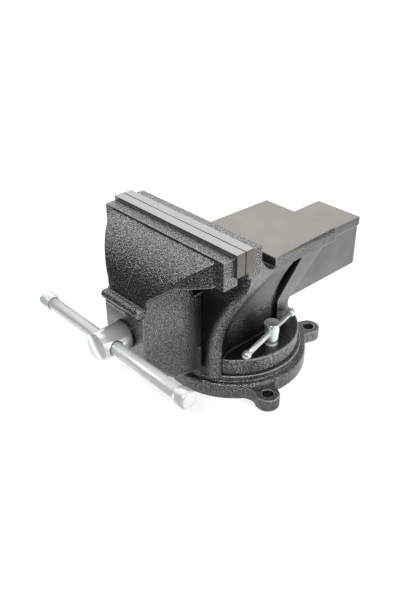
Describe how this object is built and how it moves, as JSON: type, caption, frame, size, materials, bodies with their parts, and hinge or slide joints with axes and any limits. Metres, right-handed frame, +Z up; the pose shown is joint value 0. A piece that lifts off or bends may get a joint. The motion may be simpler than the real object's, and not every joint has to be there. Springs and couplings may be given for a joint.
{
  "type": "swivel bench vise",
  "caption": "Cast bench vise on a swivel base, with an anvil, a winged movable jaw on a hollow beam, a screw spindle with a tommy bar and two swivel lock screws.",
  "frame": {"origin": "swivel axis at the underside of the base, on the bench", "axes": "+Z up along the swivel axis; +Y to the rear along the beam, so the spindle head faces -Y; +X to the right of a user at the handle"},
  "size_m": [0.253, 0.4051, 0.2191],
  "materials": {
    "cast_paint": "satin",
    "base_paint": "satin",
    "jaw_steel": "satin",
    "zinc_steel": "polished",
    "dark_steel": "satin",
    "nut_iron": "matte"
  },
  "bodies": {
    "base": {"swivel_base": "base_paint"},
    "body": {"vise_body": "cast_paint", "fixed_jaw_plate": "jaw_steel", "fixed_jaw_screws": "dark_steel", "spindle_nut": "nut_iron", "nut_bolt": "zinc_steel", "nut_washer": "zinc_steel", "slot_nut_left": "dark_steel", "slot_nut_right": "dark_steel", "lock_washer_left": "zinc_steel", "lock_washer_right": "zinc_steel"},
    "jaw": {"movable_jaw": "cast_paint", "movable_jaw_plate": "jaw_steel", "movable_jaw_screws": "dark_steel"},
    "screw": {"spindle": "zinc_steel", "thrust_washer": "zinc_steel", "spring_washer": "zinc_steel", "spindle_spring": "dark_steel", "retaining_collar": "dark_steel", "collar_pin": "zinc_steel"},
    "tommy": {"tommy_bar": "zinc_steel", "bar_cap_left": "zinc_steel", "bar_cap_right": "zinc_steel"},
    "lock_left": {"lock_screw_left": "zinc_steel"},
    "lock_right": {"lock_screw_right": "zinc_steel"},
    "lever_left": {"lock_bar_left": "zinc_steel", "lock_knobs_left": "zinc_steel"},
    "lever_right": {"lock_bar_right": "zinc_steel", "lock_knobs_right": "zinc_steel"}
  },
  "joints": [
    {"name": "swivel", "type": "hinge", "parent": "base", "child": "body", "pos_m": [0, 0, 0.028], "axis": [0, 0, 1], "continuous": true},
    {"name": "jaw_slide", "type": "slide", "parent": "body", "child": "jaw", "axis": [0, -1, 0], "range_m": [0, 0.1801]},
    {"name": "spindle_turn", "type": "hinge", "parent": "jaw", "child": "screw", "pos_m": [0, -0.19, 0.1097], "axis": [0, -1, 0], "range_deg": [0, 10800]},
    {"name": "bar_slide", "type": "slide", "parent": "screw", "child": "tommy", "axis": [1, 0, 0], "range_m": [-0.098, 0.088]},
    {"name": "lock_turn_left", "type": "hinge", "parent": "body", "child": "lock_left", "pos_m": [-0.065, 0, 0.065], "axis": [0, 0, 1], "range_deg": [0, 14]},
    {"name": "lock_turn_right", "type": "hinge", "parent": "body", "child": "lock_right", "pos_m": [0.065, 0, 0.065], "axis": [0, 0, 1], "range_deg": [-14, 0]},
    {"name": "lever_slide_left", "type": "slide", "parent": "lock_left", "child": "lever_left", "axis": [-0.2317, -0.9728, 0], "range_m": [0, 0.031]},
    {"name": "lever_slide_right", "type": "slide", "parent": "lock_right", "child": "lever_right", "axis": [0.2317, -0.9728, 0], "range_m": [0, 0.031]}
  ],
  "couplings": [
    {"joint": "jaw_slide", "follows": "spindle_turn", "m_per_rad": 0.00095493}
  ]
}
